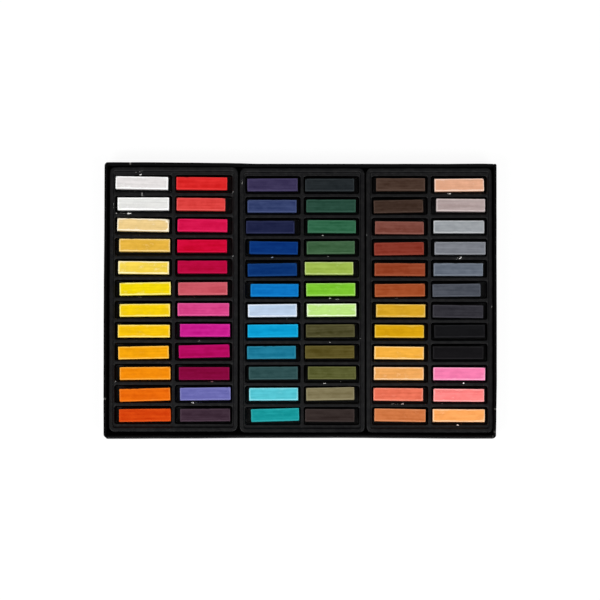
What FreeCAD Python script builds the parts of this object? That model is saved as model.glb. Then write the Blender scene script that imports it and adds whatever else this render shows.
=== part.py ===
import FreeCAD, Part
import math
import os
import Sketcher
from FreeCAD import Vector

# Pastel drawer box: a shallow black card drawer that holds three thermoformed trays side by side,
# each with two columns of twelve wells, and a square half stick of soft pastel in every well.
# Millimetres. The origin is the middle of the drawer's underside, +X along its length,
# +Y away from the front wall and +Z up.

doc = FreeCAD.newDocument("PastelDrawerBox")

# Driving dimensions
SIZES = [
    ("stick_length", 33.0, "half of a full soft pastel stick"),
    ("stick_side", 8.2, "side of its square section"),
    ("stick_edge", 0.45, "worn edge along the stick, a chamfer"),
    ("room_along_left", 4.5, "well length beyond the stick, left tray"),
    ("room_along_middle", 3.3, "the same in the middle tray"),
    ("room_along_right", 3.8, "the same in the right tray"),
    ("room_across", 3.45, "well width beyond the stick"),
    ("rib_columns", 2.1, "between the two columns of wells"),
    ("rib_rows", 2.15, "between two rows of wells"),
    ("well_depth", 6.3, "from the deck to the floor of a well"),
    ("well_corner", 0.8, "cut across the corners of a well"),
    ("well_draft", 2.5, "degrees, walls of a well"),
    ("rim_width", 2.6, "flat top of the rim"),
    ("rim_to_wells", 3.7, "edge of the rim to the ends of the wells"),
    ("rim_slope", 1.2, "run of the slope from the rim down to the deck"),
    ("rim_rise", 1.1, "rim above the deck"),
    ("rim_round", 0.9, "round along the outer edge of the rim"),
    ("deck_corner", 2.2, "corner radius where the slope leaves the rim"),
    ("deck_end", 1.65, "deck between the slope and the first row"),
    ("plastic", 0.5, "thickness of the formed sheet"),
    ("tray_height", 12.0, "rim above the foot of the skirt"),
    ("tray_corner", 3.8, "corner radius of the tray at the rim"),
    ("inside_corner", 2.7, "cut across the corners inside the skirt"),
    ("skirt_draft", 1.2, "degrees, outer skirt"),
    ("left_gap", 1.0, "between the left and the middle tray at the rim"),
    ("right_gap", 0.8, "between the middle and the right tray at the rim"),
    ("card", 0.7, "one ply of card"),
    ("ply_gap", 0.2, "between the two plies of a rolled wall"),
    ("wall_height", 17.0, "top of the walls above the table"),
    ("left_room", 1.65, "rim of the left tray to the left wall"),
    ("right_room", 0.9, "rim of the right tray to the right wall"),
    ("front_room", 1.7, "rim to the front wall"),
    ("back_room", 1.55, "rim to the back wall"),
    ("left_back", 0.7, "the left tray lies further back than the others"),
    ("slit", 0.35, "where two rolled walls meet at a corner"),
    ("worn_slit", 0.9, "the same at the worn front right corner"),
    ("worn_corner", 0.5, "chamfer down the outer corners of the side walls"),
]
COLUMNS = 2
ROWS = 12
TRAYS = ["left", "middle", "right"]

# Sizes worked out from them
WELL_LENGTH = {side: f"(Sizes.stick_length + Sizes.room_along_{side})" for side in TRAYS}
WELL_WIDTH = "(Sizes.stick_side + Sizes.room_across)"
COLUMN_PITCH = {side: f"({WELL_LENGTH[side]} + Sizes.rib_columns)" for side in TRAYS}
ROW_PITCH = f"({WELL_WIDTH} + Sizes.rib_rows)"
RIM_X = {
    side: f"({COLUMNS} * {COLUMN_PITCH[side]} - Sizes.rib_columns + 2 * Sizes.rim_to_wells)"
    for side in TRAYS
}
END_BAND = "(Sizes.rim_width + Sizes.rim_slope + Sizes.deck_end)"
RIM_Y = f"({ROWS} * {ROW_PITCH} - Sizes.rib_rows + 2 * {END_BAND})"
WALL = "(2 * Sizes.card + Sizes.ply_gap)"
SIDE_ROOMS = "(Sizes.left_room + Sizes.left_gap + Sizes.right_gap + Sizes.right_room)"
OUTER_X = f"({' + '.join(RIM_X.values())} + {SIDE_ROOMS} + 2 * {WALL})"
OUTER_Y = f"({RIM_Y} + Sizes.front_room + Sizes.back_room + 2 * {WALL})"
LEFT_RIM = f"(-{OUTER_X} / 2 + {WALL} + Sizes.left_room)"
TRAY_X = {
    "left": f"({LEFT_RIM} + {RIM_X['left']} / 2)",
    "middle": f"({LEFT_RIM} + {RIM_X['left']} + Sizes.left_gap + {RIM_X['middle']} / 2)",
    "right": f"({OUTER_X} / 2 - {WALL} - Sizes.right_room - {RIM_X['right']} / 2)",
}
TRAY_Y = {
    "left": "((Sizes.front_room - Sizes.back_room) / 2 + Sizes.left_back)",
    "middle": "((Sizes.front_room - Sizes.back_room) / 2)",
    "right": "((Sizes.front_room - Sizes.back_room) / 2)",
}
WELL_FLOOR = "(Sizes.card + Sizes.tray_height - Sizes.rim_rise - Sizes.well_depth)"

# The sticks, two neighbours of a column to a node, from the back row to the front one
PAIRS = {
    ("left", 0): ["white", "sand", "lemon", "sunflower", "marigold", "orange"],
    ("left", 1): ["scarlet", "crimson", "carmine", "fuchsia", "burgundy", "lavender"],
    ("middle", 0): ["violet", "navy", "cobalt", "sky", "teal", "turquoise"],
    ("middle", 1): ["pine", "emerald", "apple", "lime", "olive", "khaki"],
    ("right", 0): ["umber", "brick", "rust", "ochre", "apricot", "coral"],
    ("right", 1): ["peach", "silver", "slate", "charcoal", "black_pink", "salmon"],
}

# How the sticks lie in their wells, back stick of the pair and then front one: the turn in degrees,
# millimetres along the well and across it, and how much longer the stick is than the usual half
LIE = {
    "white": ((-1.0, -1.1, 0.5, 1.4), (0.0, -0.1, 0.5, 0.7)),
    "sand": ((-1.2, -0.2, 0.4, 0.9), (-0.4, 0.8, 0.8, 0.3)),
    "lemon": ((-0.6, 0.2, -0.1, 0.2), (1.0, 1.3, -0.2, 0.4)),
    "sunflower": ((0.4, 1.1, -0.5, 0.0), (0.0, 0.5, -0.4, 1.0)),
    "marigold": ((1.1, 0.3, -0.7, 0.0), (0.4, 1.4, -0.5, 0.1)),
    "orange": ((1.6, 1.3, -0.7, 0.1), (0.7, 1.4, -0.3, 0.7)),
    "scarlet": ((-0.5, -1.4, 0.1, 0.3), (-0.6, -1.9, 0.2, -1.1)),
    "crimson": ((-0.7, -0.9, 0.1, -0.4), (0.0, -1.1, 0.3, -0.5)),
    "carmine": ((0.0, -0.9, 0.3, -0.7), (0.4, -0.6, -0.1, -0.8)),
    "fuchsia": ((0.0, -0.2, 0.0, 0.7), (0.0, 0.9, 0.1, -0.4)),
    "burgundy": ((1.4, 0.4, 0.2, 0.1), (0.0, 0.4, -0.6, -0.1)),
    "lavender": ((0.8, 1.2, -0.1, 0.0), (0.5, 1.1, -0.2, -0.4)),
    "violet": ((0.3, -0.3, -0.1, 0.0), (0.0, -0.6, -0.4, -0.8)),
    "navy": ((0.0, -1.7, -0.4, -1.3), (-0.8, 0.5, -0.2, -1.3)),
    "cobalt": ((0.9, -0.4, -0.8, -0.8), (0.0, 1.1, -0.5, -1.7)),
    "sky": ((0.6, -0.3, 0.0, -1.0), (0.5, 0.0, 0.5, -0.1)),
    "teal": ((0.5, -0.9, 0.1, -1.2), (0.4, 0.3, 0.4, -1.0)),
    "turquoise": ((0.3, 0.5, 0.4, -1.0), (1.6, 1.5, 0.6, -1.7)),
    "pine": ((0.0, -1.2, -0.2, -0.9), (0.0, -0.3, -0.2, -0.6)),
    "emerald": ((-0.4, 0.2, 0.0, -1.4), (0.5, -0.5, 0.0, -1.6)),
    "apple": ((0.0, -1.6, 0.1, -1.3), (0.4, -0.5, 0.0, -0.9)),
    "lime": ((0.4, 0.0, 0.3, -0.7), (0.5, -0.8, 0.5, -1.2)),
    "olive": ((0.3, -1.2, 0.4, -0.9), (0.0, 0.2, 0.5, -1.6)),
    "khaki": ((1.1, -0.9, 0.6, -1.6), (-0.3, -1.2, 0.3, -0.9)),
    "umber": ((0.0, 0.6, 0.1, -1.0), (1.2, -0.8, -0.5, -0.6)),
    "brick": ((-0.5, -0.2, -0.8, -1.1), (0.8, -0.5, -0.8, -0.5)),
    "rust": ((-0.3, 0.0, -0.7, 0.0), (0.6, 0.0, -0.5, -0.2)),
    "ochre": ((-0.3, 0.5, -0.1, -0.9), (-0.4, -0.4, 0.2, -0.9)),
    "apricot": ((-0.6, -0.6, -0.2, -0.6), (-0.3, -0.8, 0.1, -0.5)),
    "coral": ((-0.5, -1.2, 0.2, -0.7), (-1.0, -0.1, 0.4, 0.4)),
    "peach": ((0.5, 0.2, -0.2, -0.6), (-0.5, 1.1, 0.3, -1.0)),
    "silver": ((0.0, -0.1, -0.2, 0.2), (0.0, 0.6, -0.5, 0.4)),
    "slate": ((-0.2, -0.6, -0.7, -0.7), (0.7, -1.8, -0.5, -1.6)),
    "charcoal": ((-0.7, -0.9, -0.6, 0.0), (0.4, 0.0, 0.2, 0.0)),
    "black_pink": ((0.0, -0.9, -0.1, 0.0), (-0.3, -0.2, -0.1, 0.9)),
    "salmon": ((-0.5, -0.5, -0.3, 0.1), (-0.3, -0.6, 0.2, 1.0)),
}

sheet = doc.addObject("Spreadsheet::Sheet", "Sizes")
for row, (alias, number, meaning) in enumerate(SIZES, start=1):
    sheet.set(f"A{row}", alias)
    sheet.set(f"B{row}", str(number))
    sheet.set(f"C{row}", meaning)
    sheet.setAlias(f"B{row}", alias)
doc.recompute()


def value(expression):
    """The number that an expression on the sheet comes to, in mm or degrees."""
    found = sheet.evalExpression(expression)
    return float(getattr(found, "Value", found))


def new_body(label, x="0", y="0", z="0"):
    body = doc.addObject("PartDesign::Body", label)
    body.Label = label
    for axis, expression in zip("xyz", (x, y, z)):
        body.setExpression(f"Placement.Base.{axis}", expression)
    return body


def new_sketch(body, name, plane, height="0"):
    """A sketch on one of the body's own origin planes, raised by height along its normal."""
    sketch = body.newObject("Sketcher::SketchObject", f"{body.Name}_{name}")
    origin = next(o for o in body.Origin.OriginFeatures if o.Role == plane)
    sketch.AttachmentSupport = [(origin, "")]
    sketch.MapMode = "FlatFace"
    sketch.setExpression("AttachmentOffset.Base.z", height)
    return sketch


def bind(sketch, expression, *constraint):
    """Adds a dimension to a sketch and ties it to the sheet."""
    number = sketch.addConstraint(Sketcher.Constraint(*constraint, value(expression)))
    sketch.setExpression(f"Constraints[{number}]", expression)


def closed_lines(sketch, points):
    """Straight lines from point to point and back to the first, joined at their ends."""
    first = sketch.GeometryCount
    for start, end in zip(points, points[1:] + points[:1]):
        sketch.addGeometry(Part.LineSegment(Vector(*start, 0), Vector(*end, 0)), False)
    for i in range(len(points)):
        after = first + (i + 1) % len(points)
        sketch.addConstraint(Sketcher.Constraint("Coincident", first + i, 2, after, 1))
    return first


def centre_on(sketch, a, a_end, b, b_end, x, y):
    """Centres two opposite points of an outline on the point x, y of the sketch."""
    if x == "0" and y == "0":
        sketch.addConstraint(Sketcher.Constraint("Symmetric", a, a_end, b, b_end, -1, 1))
        return
    middle = sketch.addGeometry(Part.Point(Vector(value(x), value(y), 0)), True)
    sketch.addConstraint(Sketcher.Constraint("Symmetric", a, a_end, b, b_end, middle, 1))
    bind(sketch, x, "DistanceX", -1, 1, middle, 1)
    bind(sketch, y, "DistanceY", -1, 1, middle, 1)


def rounded_rectangle(sketch, length, width, radius, x="0", y="0"):
    """An outline of four lines and four tangent arcs."""
    half_x, half_y, r = value(length) / 2, value(width) / 2, value(radius)
    cx, cy = value(x), value(y)
    first = sketch.GeometryCount
    for quarter in range(4):
        turn = quarter * math.pi / 2
        across, along = (half_x, half_y) if quarter % 2 == 0 else (half_y, half_x)
        out = Vector(math.cos(turn), math.sin(turn), 0)
        on = Vector(-out.y, out.x, 0)
        centre = Vector(cx, cy, 0)
        start = centre + out * across - on * (along - r)
        end = centre + out * across + on * (along - r)
        sketch.addGeometry(Part.LineSegment(start, end), False)
        circle = Part.Circle(end - out * r, Vector(0, 0, 1), r)
        sketch.addGeometry(Part.ArcOfCircle(circle, turn, turn + math.pi / 2), False)
    for i in range(8):
        after = first + (i + 1) % 8
        sketch.addConstraint(Sketcher.Constraint("Tangent", first + i, 2, after, 1))
    for i in (0, 4):
        sketch.addConstraint(Sketcher.Constraint("Vertical", first + i))
    for i in (2, 6):
        sketch.addConstraint(Sketcher.Constraint("Horizontal", first + i))
    for i in (3, 5, 7):
        sketch.addConstraint(Sketcher.Constraint("Equal", first + 1, first + i))
    bind(sketch, radius, "Radius", first + 1)
    bind(sketch, length, "DistanceX", first + 4, 1, first, 2)
    bind(sketch, width, "DistanceY", first + 6, 1, first + 2, 1)
    centre_on(sketch, first + 1, 3, first + 5, 3, x, y)


def cut_rectangle(sketch, length, width, cut, x="0", y="0"):
    """A rectangle with its four corners cut off at 45 degrees."""
    half_x, half_y, c = value(length) / 2, value(width) / 2, value(cut)
    cx, cy = value(x), value(y)
    points = []
    for quarter in range(4):
        turn = quarter * math.pi / 2
        across, along = (half_x, half_y) if quarter % 2 == 0 else (half_y, half_x)
        out = Vector(math.cos(turn), math.sin(turn), 0)
        on = Vector(-out.y, out.x, 0)
        for end in (-1, 1):
            corner = Vector(cx, cy, 0) + out * across + on * end * (along - c)
            points.append((corner.x, corner.y))
    first = closed_lines(sketch, points)
    for i in (0, 4):
        sketch.addConstraint(Sketcher.Constraint("Vertical", first + i))
    for i in (2, 6):
        sketch.addConstraint(Sketcher.Constraint("Horizontal", first + i))
    for i in (1, 3, 5):
        sketch.addConstraint(Sketcher.Constraint("Equal", first + i, first + i + 2))
        sketch.addConstraint(Sketcher.Constraint("Perpendicular", first + i, first + i + 2))
    bind(sketch, cut, "DistanceX", first + 1, 2, first + 1, 1)
    bind(sketch, cut, "DistanceY", first + 1, 1, first + 1, 2)
    bind(sketch, length, "DistanceX", first + 4, 1, first, 1)
    bind(sketch, width, "DistanceY", first + 6, 1, first + 2, 1)
    centre_on(sketch, first, 1, first + 4, 1, x, y)


def turned_rectangle(sketch, length, width, degrees, x, y):
    """A plain rectangle whose long sides are turned from the sketch's X axis."""
    turn = math.radians(degrees)
    on = Vector(math.cos(turn), math.sin(turn), 0) * (value(length) / 2)
    out = Vector(-math.sin(turn), math.cos(turn), 0) * (value(width) / 2)
    centre = Vector(value(x), value(y), 0)
    corners = [centre - on - out, centre + on - out, centre + on + out, centre - on + out]
    first = closed_lines(sketch, [(corner.x, corner.y) for corner in corners])
    for i in range(3):
        sketch.addConstraint(Sketcher.Constraint("Perpendicular", first + i, first + i + 1))
    if degrees:
        sketch.addConstraint(Sketcher.Constraint("Angle", -1, 1, first, 1, turn))
    else:
        sketch.addConstraint(Sketcher.Constraint("Horizontal", first))
    bind(sketch, length, "Distance", first, 1, first, 2)
    bind(sketch, width, "Distance", first + 1, 1, first + 1, 2)
    centre_on(sketch, first, 1, first + 1, 2, x, y)


def rolled_wall(sketch, outer):
    """The section of a wall folded over on itself: two plies, a thin gap and a round top."""
    x, wide, high = value(outer), value(WALL), value("Sizes.wall_height")
    card, gap = value("Sizes.card"), value("Sizes.ply_gap")
    shoulder = high - wide / 2
    sketch.addGeometry(Part.LineSegment(Vector(x, shoulder, 0), Vector(x, 0, 0)), False)
    sketch.addGeometry(Part.LineSegment(Vector(x, 0, 0), Vector(x + wide, 0, 0)), False)
    sketch.addGeometry(Part.LineSegment(Vector(x + wide, 0, 0), Vector(x + wide, shoulder, 0)), False)
    circle = Part.Circle(Vector(x + wide / 2, shoulder, 0), Vector(0, 0, 1), wide / 2)
    sketch.addGeometry(Part.ArcOfCircle(circle, 0, math.pi), False)
    for kind, one, end, other, start in (
        ("Coincident", 0, 2, 1, 1),
        ("Coincident", 1, 2, 2, 1),
        ("Tangent", 2, 2, 3, 1),
        ("Tangent", 3, 2, 0, 1),
    ):
        sketch.addConstraint(Sketcher.Constraint(kind, one, end, other, start))
    sketch.addConstraint(Sketcher.Constraint("Vertical", 0))
    sketch.addConstraint(Sketcher.Constraint("Horizontal", 1))
    sketch.addConstraint(Sketcher.Constraint("Vertical", 2))
    sketch.addConstraint(Sketcher.Constraint("PointOnObject", 1, 1, -1))
    bind(sketch, f"-{outer}", "DistanceX", 1, 1, -1, 1)
    bind(sketch, WALL, "DistanceX", 1, 1, 1, 2)
    bind(sketch, f"Sizes.wall_height - {WALL} / 2", "DistanceY", 2, 1, 2, 2)
    slot = closed_lines(
        sketch,
        [
            (x + card, card),
            (x + card + gap, card),
            (x + card + gap, high - card),
            (x + card, high - card),
        ],
    )
    for i, kind in enumerate(("Horizontal", "Vertical", "Horizontal", "Vertical")):
        sketch.addConstraint(Sketcher.Constraint(kind, slot + i))
    bind(sketch, "Sizes.card", "DistanceX", 1, 1, slot, 1)
    bind(sketch, "Sizes.card", "DistanceY", 1, 1, slot, 1)
    bind(sketch, "Sizes.ply_gap", "DistanceX", slot, 1, slot, 2)
    bind(sketch, "Sizes.wall_height - 2 * Sizes.card", "DistanceY", slot + 1, 1, slot + 1, 2)


def extrude(body, kind, sketch, name, length, taper="0", down=False, middle=False):
    """A pad or a pocket, which has to change the body's volume."""
    before = body.Shape.Volume if body.Tip else 0.0
    feature = body.newObject(f"PartDesign::{kind}", f"{body.Name}_{name}")
    feature.Profile = sketch
    feature.setExpression("Length", length)
    feature.setExpression("TaperAngle", taper)
    # a pocket goes against the sketch's normal by itself, a pad along it
    feature.Reversed = down if kind == "Pad" else not down
    feature.Midplane = middle
    sketch.Visibility = False
    doc.recompute()
    change = body.Shape.Volume - before
    if (change <= 0) if kind == "Pad" else (change >= 0):
        raise ValueError(f"{feature.Name} changes the volume by {change:.3f}")
    return feature


def edges_where(feature, test):
    """The names of the edges whose both ends and middle pass a test."""
    names = []
    for number, edge in enumerate(feature.Shape.Edges, start=1):
        points = [vertex.Point for vertex in edge.Vertexes]
        points.append(edge.valueAt((edge.FirstParameter + edge.LastParameter) / 2))
        if all(test(point) for point in points):
            names.append(f"Edge{number}")
    return names


def dress_edges(body, kind, name, amount, test):
    """A fillet or a chamfer along the edges that pass a test."""
    base = body.Tip
    feature = body.newObject(f"PartDesign::{kind}", f"{body.Name}_{name}")
    feature.Base = (base, edges_where(base, test))
    feature.setExpression("Radius" if kind == "Fillet" else "Size", amount)
    doc.recompute()
    return feature


def near(a, b):
    return abs(a - b) < 1e-4


# Drawer: one sheet of black card, its walls rolled over into two plies
def make_drawer():
    body = new_body("drawer")
    floor = new_sketch(body, "floor_outline", "XY_Plane")
    turned_rectangle(floor, OUTER_X, OUTER_Y, 0, "0", "0")
    extrude(body, "Pad", floor, "floor", "Sizes.card")
    side = new_sketch(body, "side_section", "XZ_Plane")
    rolled_wall(side, f"(-{OUTER_X} / 2)")
    left = extrude(body, "Pad", side, "side_wall", OUTER_Y, middle=True)
    mirror(body, left, "other_side_wall", "YZ_Plane")
    long = new_sketch(body, "front_section", "YZ_Plane")
    rolled_wall(long, f"(-{OUTER_Y} / 2)")
    front = extrude(
        body, "Pad", long, "front_wall", f"{OUTER_X} - 2 * {WALL} - 2 * Sizes.slit", middle=True
    )
    mirror(body, front, "back_wall", "XZ_Plane")
    # the front wall's right end has worn back
    worn = new_sketch(body, "worn_outline", "XY_Plane", "Sizes.card")
    end = f"({OUTER_X} / 2 - {WALL} - Sizes.worn_slit / 2)"
    turned_rectangle(
        worn, "Sizes.worn_slit", f"2 * {WALL}", 0, end, f"(-{OUTER_Y} / 2)"
    )
    extrude(body, "Pocket", worn, "worn_end", "Sizes.wall_height", down=False)
    half_x, half_y = value(OUTER_X) / 2, value(OUTER_Y) / 2
    dress_edges(
        body,
        "Chamfer",
        "worn_corners",
        "Sizes.worn_corner",
        lambda p: near(abs(p.x), half_x) and near(abs(p.y), half_y),
    )
    return body


def mirror(body, feature, name, plane):
    copy = body.newObject("PartDesign::Mirrored", f"{body.Name}_{name}")
    copy.Originals = [feature]
    origin = next(o for o in body.Origin.OriginFeatures if o.Role == plane)
    copy.MirrorPlane = (origin, [""])
    body.Tip = copy
    doc.recompute()


# Tray: one sheet of plastic drawn over a mould, the same thickness over rim, deck and wells
def make_tray(side):
    body = new_body(f"tray_{side}", TRAY_X[side], TRAY_Y[side], "Sizes.card")
    rim = "Sizes.tray_height"
    rim_x, well_length, column_pitch = RIM_X[side], WELL_LENGTH[side], COLUMN_PITCH[side]
    outline = new_sketch(body, "rim_outline", "XY_Plane", rim)
    rounded_rectangle(outline, rim_x, RIM_Y, "Sizes.tray_corner")
    extrude(body, "Pad", outline, "block", rim, "Sizes.skirt_draft", down=True)
    top = value(rim)
    dress_edges(body, "Fillet", "rim_round", "Sizes.rim_round", lambda p: near(p.z, top))

    under_rim = f"{rim} - Sizes.plastic"
    inside = new_sketch(body, "inside_outline", "XY_Plane", under_rim)
    cut_rectangle(
        inside,
        f"{rim_x} - 2 * Sizes.plastic",
        f"{RIM_Y} - 2 * Sizes.plastic",
        "Sizes.inside_corner",
    )
    extrude(body, "Pocket", inside, "inside", under_rim, "Sizes.skirt_draft", down=True)

    # the slope's underside lies one sheet thickness from its face, so further out at rim level
    slope = "-atan(Sizes.rim_slope / Sizes.rim_rise)"
    outside_slope = "(Sizes.plastic / sin(atan(Sizes.rim_rise / Sizes.rim_slope)))"
    deck_x, deck_y = f"({rim_x} - 2 * Sizes.rim_width)", f"({RIM_Y} - 2 * Sizes.rim_width)"
    pan = new_sketch(body, "pan_outline", "XY_Plane", rim)
    cut_rectangle(
        pan,
        f"{deck_x} + 2 * {outside_slope}",
        f"{deck_y} + 2 * {outside_slope}",
        "Sizes.deck_corner",
    )
    extrude(body, "Pad", pan, "pan", "Sizes.rim_rise + Sizes.plastic", slope, down=True)
    deck = new_sketch(body, "deck_outline", "XY_Plane", rim)
    rounded_rectangle(deck, deck_x, deck_y, "Sizes.deck_corner")
    extrude(body, "Pocket", deck, "deck", "Sizes.rim_rise", slope, down=True)

    first = (f"(-{COLUMNS - 1} * {column_pitch} / 2)", f"(-{ROWS - 1} * {ROW_PITCH} / 2)")
    cup = new_sketch(body, "cup_outline", "XY_Plane", f"{rim} - Sizes.rim_rise")
    cut_rectangle(
        cup,
        f"{well_length} + 2 * Sizes.plastic",
        f"{WELL_WIDTH} + 2 * Sizes.plastic",
        "Sizes.well_corner",
        *first,
    )
    draft = "-Sizes.well_draft"
    added = extrude(body, "Pad", cup, "cup", "Sizes.well_depth + Sizes.plastic", draft, down=True)
    mouth = new_sketch(body, "well_mouth", "XY_Plane", rim)
    cut_rectangle(mouth, well_length, WELL_WIDTH, "Sizes.well_corner", *first)
    deep = "Sizes.rim_rise + Sizes.well_depth"
    cut = extrude(body, "Pocket", mouth, "well", deep, draft, down=True)

    wells = body.newObject("PartDesign::LinearPattern", f"{body.Name}_wells")
    wells.Originals = [added, cut]
    wells.Direction = (mouth, ["H_Axis"])
    wells.Direction2 = (mouth, ["V_Axis"])
    wells.Mode = wells.Mode2 = "Extent"
    wells.Occurrences = COLUMNS
    wells.Occurrences2 = ROWS
    wells.setExpression("Length", f"{COLUMNS - 1} * {column_pitch}")
    wells.setExpression("Length2", f"{ROWS - 1} * {ROW_PITCH}")
    body.Tip = wells
    doc.recompute()
    return body


# Sticks: two neighbours of a column in one node, each lying loose in its well
def make_pair(side, column, pair, label):
    x = f"{TRAY_X[side]} + ({column} - {COLUMNS - 1} / 2) * {COLUMN_PITCH[side]}"
    y = f"{TRAY_Y[side]} + ({(ROWS - 1) / 2} - {2 * pair + 0.5}) * {ROW_PITCH}"
    body = new_body(f"pastels_{label}", x, y, WELL_FLOOR)
    body.AllowCompound = True
    outline = new_sketch(body, "outlines", "XY_Plane")
    lengths = []
    for (turn, along, across, longer), back in zip(LIE[label], (0.5, -0.5)):
        length = f"(Sizes.stick_length + ({longer}))"
        middle = f"({back} * {ROW_PITCH} + ({across}))"
        turned_rectangle(outline, length, "Sizes.stick_side", turn, f"({along})", middle)
        lengths.append(value(length))
    extrude(body, "Pad", outline, "sticks", "Sizes.stick_side")
    base = body.Tip
    worn = body.newObject("PartDesign::Chamfer", f"{body.Name}_worn_edges")
    long_edges = [
        f"Edge{number}"
        for number, edge in enumerate(base.Shape.Edges, start=1)
        if any(near(edge.Length, length) for length in lengths)
    ]
    worn.Base = (base, long_edges)
    worn.setExpression("Size", "Sizes.stick_edge")
    doc.recompute()
    return body


parts = [make_drawer()]
parts += [make_tray(side) for side in TRAYS]
parts += [
    make_pair(side, column, pair, label)
    for (side, column), labels in PAIRS.items()
    for pair, label in enumerate(labels)
]
doc.recompute()

for item in doc.Objects:
    if "Invalid" in item.State or "Error" in item.State:
        raise ValueError(f"{item.Label} has not been built: {item.State}")
for part in parts:
    if part.Shape.isNull() or not part.Shape.isValid():
        raise ValueError(f"{part.Label} has no valid shape")

os.makedirs("parts", exist_ok=True)
for part in parts:
    part.Shape.exportStep(f"parts/{part.Label}.step")
    print(part.Label, len(part.Shape.Solids), "solids", round(part.Shape.Volume, 1), "mm3")
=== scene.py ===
"""Looks of the pastel drawer box: black card drawer, three vacuum-formed trays and 72 half sticks
of soft pastel. Metres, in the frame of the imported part."""
import math
import random

import bmesh
import bpy
import numpy as np
from mathutils import Matrix, Vector, noise
from mathutils.bvhtree import BVHTree


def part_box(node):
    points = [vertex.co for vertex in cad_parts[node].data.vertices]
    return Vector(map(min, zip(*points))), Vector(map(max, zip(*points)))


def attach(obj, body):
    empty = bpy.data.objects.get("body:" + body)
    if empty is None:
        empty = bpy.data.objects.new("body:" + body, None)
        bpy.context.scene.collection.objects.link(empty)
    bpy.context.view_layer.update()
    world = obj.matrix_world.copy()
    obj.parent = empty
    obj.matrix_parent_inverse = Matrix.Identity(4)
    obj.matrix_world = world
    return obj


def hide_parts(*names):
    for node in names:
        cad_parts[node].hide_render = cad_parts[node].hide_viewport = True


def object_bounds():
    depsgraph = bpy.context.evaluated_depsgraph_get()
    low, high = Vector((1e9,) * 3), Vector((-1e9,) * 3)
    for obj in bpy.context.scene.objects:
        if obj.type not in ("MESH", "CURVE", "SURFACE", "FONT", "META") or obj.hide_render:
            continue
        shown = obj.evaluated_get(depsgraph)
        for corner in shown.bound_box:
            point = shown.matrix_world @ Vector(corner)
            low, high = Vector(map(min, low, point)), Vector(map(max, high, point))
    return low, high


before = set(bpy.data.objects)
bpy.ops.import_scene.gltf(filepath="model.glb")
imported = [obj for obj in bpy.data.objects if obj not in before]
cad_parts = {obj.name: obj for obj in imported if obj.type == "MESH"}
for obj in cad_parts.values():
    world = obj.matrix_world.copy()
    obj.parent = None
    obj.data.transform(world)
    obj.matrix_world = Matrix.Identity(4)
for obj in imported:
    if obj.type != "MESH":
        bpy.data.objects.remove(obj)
cad_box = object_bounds()

MM = 0.001

# Sizes of the trays and of the card, as the part has them
COLUMNS = 2
ROWS = 12
TRAYS = ("left", "middle", "right")
WELL_LENGTH = {"left": 37.5 * MM, "middle": 36.3 * MM, "right": 36.8 * MM}
WELL_WIDTH = 11.65 * MM
RIB_COLUMNS = 2.1 * MM        # between the wells' mouths, end to end
RIB_ROWS = 2.15 * MM          # and side by side
WELL_DEPTH = 6.3 * MM
WELL_DRAFT = math.radians(2.5)
SKIRT_DRAFT = math.radians(1.2)
RIM_WIDTH = 2.6 * MM
RIM_RISE = 1.1 * MM           # above the deck
RIM_ROUND = 0.9 * MM
PLASTIC = 0.5 * MM            # thickness of a tray's sheet
CARD = 0.7 * MM               # thickness of one ply
PLY_GAP = 0.2 * MM            # between the two plies of a wall
SLIT = 0.35 * MM              # between two walls where they meet
WORN_SLIT = 0.9 * MM          # and at the front right corner
COLUMN_PITCH = {side: length + RIB_COLUMNS for side, length in WELL_LENGTH.items()}
ROW_PITCH = WELL_WIDTH + RIB_ROWS

# The sticks' pigments, set from their colours measured in the photograph, two to a node: the back
# stick, then the front one
PIGMENTS = {
    ("left", 0): {
        "white": ("#e0dcdb", "#e1e1de"),
        "sand": ("#e8c888", "#dfae3e"),
        "lemon": ("#efcf4b", "#eacf00"),
        "sunflower": ("#ebc502", "#eebc04"),
        "marigold": ("#ea9d04", "#e98602"),
        "orange": ("#de6402", "#c93e04"),
    },
    ("left", 1): {
        "scarlet": ("#d52424", "#d63f3c"),
        "crimson": ("#cf1048", "#c70030"),
        "carmine": ("#b00038", "#c0505c"),
        "fuchsia": ("#d04182", "#c21a88"),
        "burgundy": ("#a80056", "#7c0036"),
        "lavender": ("#6767a8", "#3a2935"),
    },
    ("middle", 0): {
        "violet": ("#383152", "#333f68"),
        "navy": ("#1c2140", "#022e70"),
        "cobalt": ("#06306b", "#026eb9"),
        "sky": ("#b3c6de", "#0298ca"),
        "teal": ("#18728e", "#2b494a"),
        "turquoise": ("#52bdca", "#159194"),
    },
    ("middle", 1): {
        "pine": ("#212629", "#234437"),
        "emerald": ("#2c6044", "#395a3c"),
        "apple": ("#98b24a", "#77be2c"),
        "lime": ("#b6df7c", "#484528"),
        "olive": ("#534a1f", "#53552c"),
        "khaki": ("#786f50", "#302725"),
    },
    ("right", 0): {
        "umber": ("#47352c", "#3c2c24"),
        "brick": ("#77443a", "#7f3023"),
        "rust": ("#8e3f24", "#9b4824"),
        "ochre": ("#d09e22", "#d09c08"),
        "apricot": ("#eaa83c", "#e7a359"),
        "coral": ("#df6d53", "#c46f3e"),
    },
    ("right", 1): {
        "peach": ("#dfa686", "#ae9d9b"),
        "silver": ("#989ca0", "#767980"),
        "slate": ("#616975", "#464a53"),
        "charcoal": ("#2e2d33", "#121214"),
        "black_pink": ("#131214", "#ee7aa8"),
        "salmon": ("#f7807e", "#f5a25a"),
    },
}


def linear(colour):
    """An sRGB hex colour as linear RGBA."""
    channels = [int(colour[i:i + 2], 16) / 255 for i in (1, 3, 5)]
    return (*[c / 12.92 if c <= 0.04045 else ((c + 0.055) / 1.055) ** 2.4 for c in channels], 1)


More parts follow.
